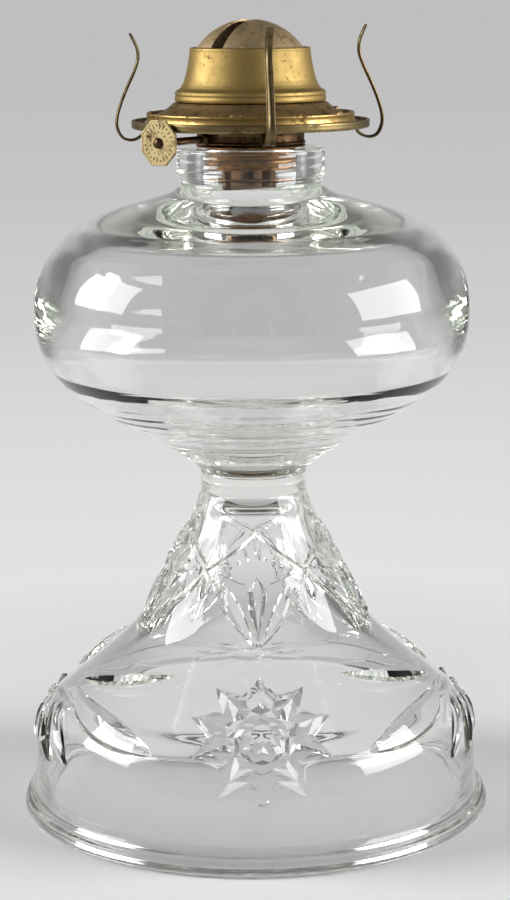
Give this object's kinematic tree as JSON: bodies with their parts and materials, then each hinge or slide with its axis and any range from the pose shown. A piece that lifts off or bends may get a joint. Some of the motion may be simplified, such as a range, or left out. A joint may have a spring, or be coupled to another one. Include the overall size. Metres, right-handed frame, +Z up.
{
  "type": "kerosene table lamp",
  "caption": "Clear pressed-glass kerosene lamp: hollow patterned foot, bulbous oil font with a threaded neck, and a brass flat-wick burner with sprung chimney prongs.",
  "frame": {"origin": "centre of the rim that the foot stands on", "axes": "+Z up along the lamp's axis, -Y towards the front, where the picture was taken from"},
  "size_m": [0.1588, 0.1588, 0.2646],
  "materials": {
    "glass": "clear, pressed and blown, faintly green",
    "aged_brass": "aged satin brass with small dark pits",
    "bright_brass": "pale worn brass",
    "dark_brass": "tarnished brown brass",
    "cotton": "woven cotton"
  },
  "bodies": {
    "lamp": {"glass_base": "glass", "glass_font": "glass"},
    "burner": {"screw_ferrule": "dark_brass", "burner_cup": "dark_brass", "air_pan": "dark_brass", "gallery": "aged_brass", "draft_deck": "dark_brass", "wick_tube": "dark_brass", "vent_tube": "dark_brass", "shaft_bush": "dark_brass", "sprocket_box": "dark_brass"},
    "cone": {"bell": "aged_brass", "dome": "bright_brass"},
    "knob": {"wick_shaft": "dark_brass", "sprocket_inner": "dark_brass", "sprocket_outer": "dark_brass", "thumb_wheel": "bright_brass", "wheel_rivet": "dark_brass"},
    "wick": {"wick": "cotton"},
    "prong_front": {"prong_front": "aged_brass"},
    "prong_right": {"prong_right": "aged_brass"},
    "prong_back": {"prong_back": "aged_brass"},
    "prong_left": {"prong_left": "aged_brass"}
  },
  "joints": [
    {"name": "burner_lift", "type": "slide", "parent": "lamp", "child": "burner", "axis": [0, 0, 1], "range_m": [0, 0.04]},
    {"name": "cone_lift", "type": "slide", "parent": "burner", "child": "cone", "axis": [0, 0, 1], "range_m": [0, 0.03]},
    {"name": "knob_turn", "type": "hinge", "parent": "burner", "child": "knob", "pos_m": [-0.00376, 0.00299, 0.2264], "axis": [-0.6225, -0.7826, 0], "range_deg": [-120, 170]},
    {"name": "wick_travel", "type": "slide", "parent": "burner", "child": "wick", "axis": [0, 0, 1], "range_m": [-0.0069, 0.0097]},
    {"name": "prong_front_flex", "type": "hinge", "parent": "burner", "child": "prong_front", "pos_m": [0.00459, -0.03268, 0.2295], "axis": [0.9903, 0.1392, 0], "range_deg": [-2, 6], "stiffness_Nm_per_rad": 0.15},
    {"name": "prong_right_flex", "type": "hinge", "parent": "burner", "child": "prong_right", "pos_m": [0.03268, 0.00459, 0.2295], "axis": [-0.1392, 0.9903, 0], "range_deg": [-2, 6], "stiffness_Nm_per_rad": 0.15},
    {"name": "prong_back_flex", "type": "hinge", "parent": "burner", "child": "prong_back", "pos_m": [-0.00459, 0.03268, 0.2295], "axis": [-0.9903, -0.1392, 0], "range_deg": [-2, 6], "stiffness_Nm_per_rad": 0.15},
    {"name": "prong_left_flex", "type": "hinge", "parent": "burner", "child": "prong_left", "pos_m": [-0.03268, -0.00459, 0.2295], "axis": [0.1392, -0.9903, 0], "range_deg": [-2, 6], "stiffness_Nm_per_rad": 0.15}
  ],
  "couplings": [
    {"joint": "knob_turn", "follows": "wick_travel", "rad_per_m": 303.03}
  ]
}
